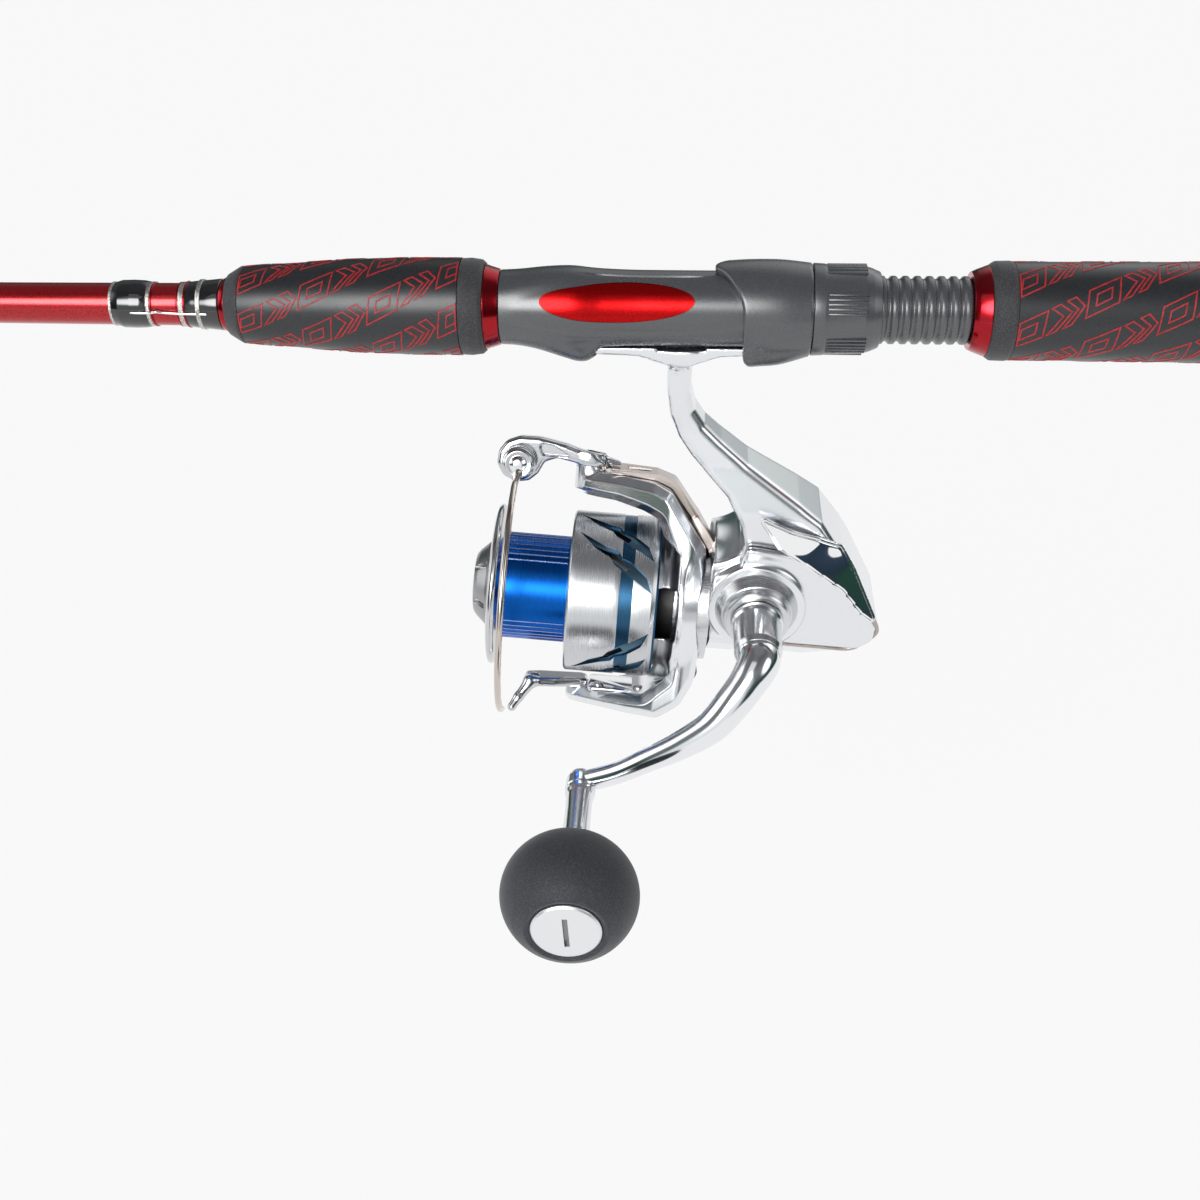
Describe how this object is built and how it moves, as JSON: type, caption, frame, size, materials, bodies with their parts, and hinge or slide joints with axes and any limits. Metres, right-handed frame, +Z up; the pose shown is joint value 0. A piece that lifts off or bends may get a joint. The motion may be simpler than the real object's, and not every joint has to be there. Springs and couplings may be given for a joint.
{
  "type": "fishing rod and reel",
  "caption": "Spinning rod with line guides, a screw-lock reel seat and foam-ringed grips, carrying a fixed-spool reel with a folding bail, oscillating spool and crank handle.",
  "frame": {"origin": "centre of the butt end on the rod axis", "axes": "+X along the rod axis from the tip to the butt, +Z up with the reel hanging below, the handle on the -Y side"},
  "size_m": [1.984, 0.1511, 0.1808],
  "materials": {
    "blank_red": "gloss lacquer over carbon",
    "wrap_black": "epoxy over thread",
    "guide_steel": "polished",
    "ring_ceramic": "polished",
    "anodised_red": "anodised",
    "foam": "closed cell foam",
    "grip_black": "satin, embossed",
    "seat_grey": "satin",
    "window_red": "gloss",
    "body_silver": "satin metallic",
    "mirror_chrome": "polished",
    "steel": "turned",
    "brass": "machined",
    "champagne": "satin",
    "knob_black": "closed cell foam",
    "cap_silver": "anodised",
    "spool_silver": "turned",
    "arbor_blue": "anodised",
    "washer_dark": "carbon felt",
    "knob_grey": "satin"
  },
  "bodies": {
    "rod": {"blank": "blank_red", "guide_wraps": "wrap_black", "keeper_wraps": "wrap_black", "hook_keeper": "guide_steel", "guide_1": "guide_steel", "guide_2": "guide_steel", "guide_3": "guide_steel", "guide_4": "guide_steel", "guide_5": "guide_steel", "guide_6": "guide_steel", "guide_rings": "ring_ceramic", "tip_top": "guide_steel", "tip_ring": "ring_ceramic", "fore_check_front": "anodised_red", "fore_ring_front": "foam", "fore_grip": "grip_black", "fore_ring_rear": "foam", "fore_check_rear": "anodised_red", "reel_seat": "seat_grey", "seat_windows": "window_red", "rear_check": "anodised_red", "rear_ring_front": "foam", "rear_grip": "grip_black", "butt_cap": "grip_black", "reel_body": "body_silver", "side_cover": "body_silver", "rear_plate": "mirror_chrome", "body_screws": "steel", "axle_cap": "body_silver", "gear_bearings": "steel", "pinion_bearings": "steel", "one_way_clutch": "brass"},
    "hood": {"sliding_hood": "seat_grey"},
    "nut": {"lock_nut": "seat_grey"},
    "handle": {"drive_gear": "brass", "handle_collar": "mirror_chrome", "handle_arm": "mirror_chrome", "knob_stem": "mirror_chrome"},
    "knob": {"knob": "knob_black", "knob_cap": "cap_silver"},
    "rotor": {"rotor": "body_silver", "rotor_nut": "steel", "pinion": "brass", "arm_cover": "champagne", "arm_plate": "champagne", "rotor_screws": "steel", "bail_spring": "steel"},
    "bail": {"bail_arm": "body_silver", "bail_lever": "body_silver", "bail_wire": "mirror_chrome", "roller_screw": "steel"},
    "roller": {"line_roller": "mirror_chrome"},
    "shaft": {"main_shaft": "steel", "slider": "steel"},
    "worm": {"worm_shaft": "brass"},
    "spool": {"spool": "spool_silver", "spool_arbor": "arbor_blue", "spool_lip": "spool_silver", "drag_washers": "washer_dark"},
    "drag": {"drag_knob": "knob_grey"}
  },
  "joints": [
    {"name": "hood_slide", "type": "slide", "parent": "rod", "child": "hood", "axis": [1, 0, 0], "range_m": [0, 0.022]},
    {"name": "nut_turn", "type": "hinge", "parent": "hood", "child": "nut", "pos_m": [-0.33, 0, 0], "axis": [1, 0, 0], "range_deg": [0, 2205]},
    {"name": "handle_spin", "type": "hinge", "parent": "rod", "child": "handle", "pos_m": [-0.35374, 0, -0.09833], "axis": [0, 1, 0], "continuous": true},
    {"name": "knob_spin", "type": "hinge", "parent": "handle", "child": "knob", "pos_m": [-0.4106, -0.1074, -0.14401], "axis": [0, 1, 0], "continuous": true},
    {"name": "rotor_spin", "type": "hinge", "parent": "rod", "child": "rotor", "pos_m": [-0.38, 0, -0.1083], "axis": [0.9969, 0, -0.0785], "continuous": true},
    {"name": "worm_spin", "type": "hinge", "parent": "rod", "child": "worm", "pos_m": [-0.35059, 0.00636, -0.117], "axis": [0.9969, 0, -0.0785], "continuous": true},
    {"name": "bail_open", "type": "hinge", "parent": "rotor", "child": "bail", "pos_m": [-0.4136, 0, -0.10566], "axis": [0.0727, 0.3746, 0.9243], "range_deg": [-92, 0]},
    {"name": "roller_spin", "type": "hinge", "parent": "bail", "child": "roller", "pos_m": [-0.43391, 0.00971, -0.06039], "axis": [-0.0294, 0.9272, -0.3735], "continuous": true},
    {"name": "spool_slide", "type": "slide", "parent": "rod", "child": "shaft", "axis": [0.9969, 0, -0.0785], "range_m": [-0.0105, 0.0015]},
    {"name": "spool_spin", "type": "hinge", "parent": "shaft", "child": "spool", "pos_m": [-0.41988, 0, -0.10516], "axis": [0.9969, 0, -0.0785], "continuous": true},
    {"name": "drag_turn", "type": "hinge", "parent": "shaft", "child": "drag", "pos_m": [-0.4458, 0, -0.10312], "axis": [0.9969, 0, -0.0785], "range_deg": [-720, 0]}
  ],
  "couplings": [
    {"joint": "nut_turn", "follows": "hood_slide", "rad_per_m": 1745.3},
    {"joint": "rotor_spin", "follows": "handle_spin", "ratio": -4.7143},
    {"joint": "worm_spin", "follows": "handle_spin", "ratio": 2.3571}
  ]
}
